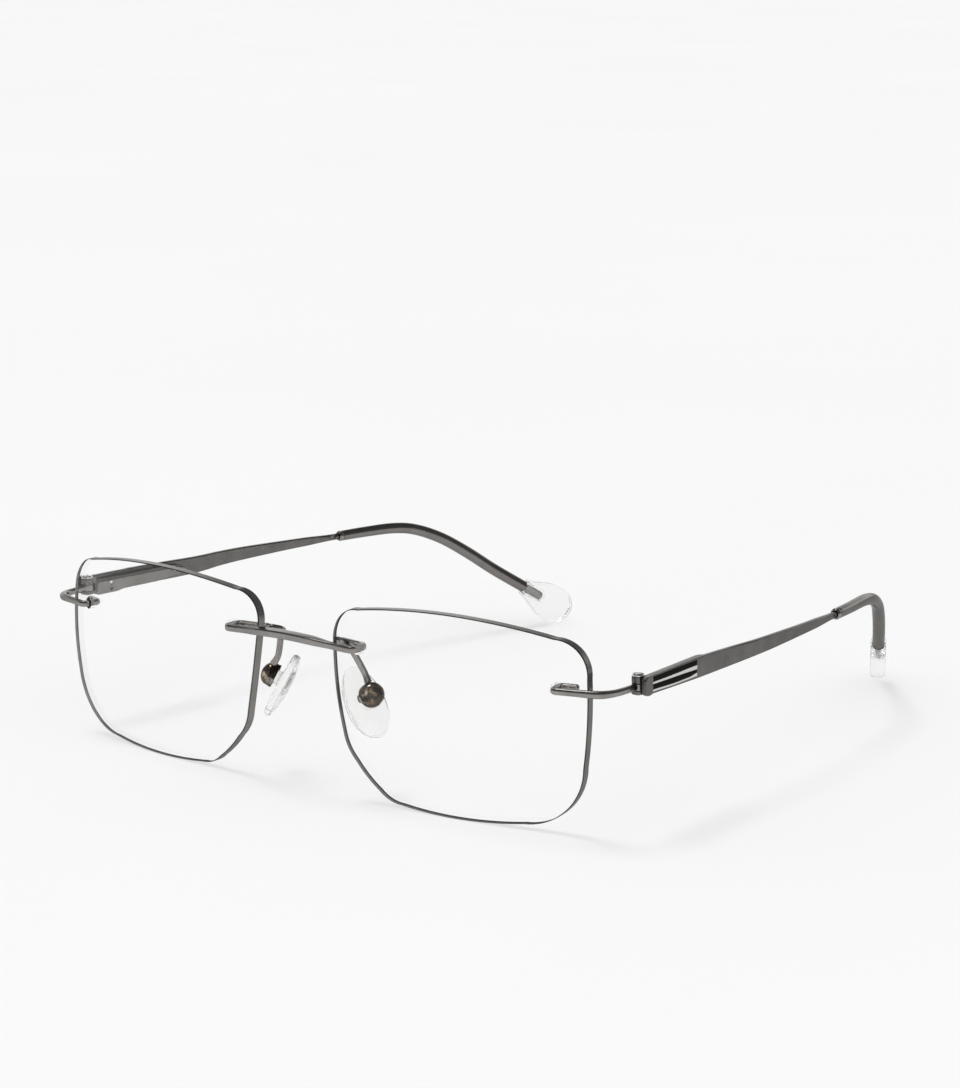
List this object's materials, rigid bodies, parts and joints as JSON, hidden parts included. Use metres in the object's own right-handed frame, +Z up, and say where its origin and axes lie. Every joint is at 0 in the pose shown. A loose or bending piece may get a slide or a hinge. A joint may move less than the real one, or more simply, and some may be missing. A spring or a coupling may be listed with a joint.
{
  "type": "rimless eyeglasses",
  "caption": "Open rimless spectacles: drilled clear lenses on a wire bridge and hinge mounts, clear nose pads, slim metal temples with sprung folding hinges and clear paddle tips.",
  "frame": {"origin": "middle of the footprint, on the surface that the lens bottoms and temple tips stand on", "axes": "+X towards the wearer's left, +Y back along the temples from the lenses to the tips, +Z up"},
  "size_m": [0.1372, 0.1456, 0.0374],
  "materials": {
    "lens": "optically clear, polished faces, ground edge",
    "clear_silicone": "soft clear",
    "clear_bushing": "clear",
    "gunmetal": "satin plated",
    "steel": "bright",
    "bronze": "satin plated, brownish",
    "enamel": "gloss black",
    "sleeve": "satin",
    "clear_tip": "clear, softly polished"
  },
  "bodies": {
    "front": {"bridge": "gunmetal", "left_lens": "lens", "left_bridge_bushing": "clear_bushing", "left_endpiece_bushing": "clear_bushing", "left_endpiece": "gunmetal", "left_hinge_screw": "steel", "left_pad_arm": "gunmetal", "left_pad_cup": "bronze", "left_pad_screw": "steel", "right_lens": "lens", "right_bridge_bushing": "clear_bushing", "right_endpiece_bushing": "clear_bushing", "right_endpiece": "gunmetal", "right_hinge_screw": "steel", "right_pad_arm": "gunmetal", "right_pad_cup": "bronze", "right_pad_screw": "steel"},
    "left_pad": {"left_nose_pad": "clear_silicone", "left_pad_tab": "clear_silicone"},
    "left_slider": {"left_hinge_slider": "steel", "left_spring_stop": "steel", "left_hinge_spring": "steel"},
    "left_temple": {"left_hinge_casing": "gunmetal", "left_temple": "gunmetal", "left_upper_enamel": "enamel", "left_lower_enamel": "enamel", "left_collar": "steel", "left_sleeve": "sleeve", "left_temple_tip": "clear_tip"},
    "right_pad": {"right_nose_pad": "clear_silicone", "right_pad_tab": "clear_silicone"},
    "right_slider": {"right_hinge_slider": "steel", "right_spring_stop": "steel", "right_hinge_spring": "steel"},
    "right_temple": {"right_hinge_casing": "gunmetal", "right_temple": "gunmetal", "right_upper_enamel": "enamel", "right_lower_enamel": "enamel", "right_collar": "steel", "right_sleeve": "sleeve", "right_temple_tip": "clear_tip"}
  },
  "joints": [
    {"name": "left_temple_fold", "type": "hinge", "parent": "front", "child": "left_slider", "pos_m": [0.06615, -0.05512, 0.0264], "axis": [0, 0, 1], "range_deg": [-10, 80.5]},
    {"name": "left_spring_slide", "type": "slide", "parent": "left_slider", "child": "left_temple", "axis": [-0.0825, 0.9966, 0], "range_m": [0, 0.001], "stiffness_N_per_m": 2000, "springref_m": -0.0005, "deforming": ["left_hinge_spring"]},
    {"name": "left_pad_rock", "type": "hinge", "parent": "front", "child": "left_pad", "pos_m": [0.01178, -0.06257, 0.01779], "axis": [-0.4051, -0.8923, -0.1992], "range_deg": [-8, 8]},
    {"name": "right_temple_fold", "type": "hinge", "parent": "front", "child": "right_slider", "pos_m": [-0.06615, -0.05512, 0.0264], "axis": [0, 0, -1], "range_deg": [-10, 73.5]},
    {"name": "right_spring_slide", "type": "slide", "parent": "right_slider", "child": "right_temple", "axis": [0.0825, 0.9966, 0], "range_m": [0, 0.001], "stiffness_N_per_m": 2000, "springref_m": -0.0005, "deforming": ["right_hinge_spring"]},
    {"name": "right_pad_rock", "type": "hinge", "parent": "front", "child": "right_pad", "pos_m": [-0.01178, -0.06257, 0.01779], "axis": [-0.4051, 0.8923, 0.1992], "range_deg": [-8, 8]}
  ]
}
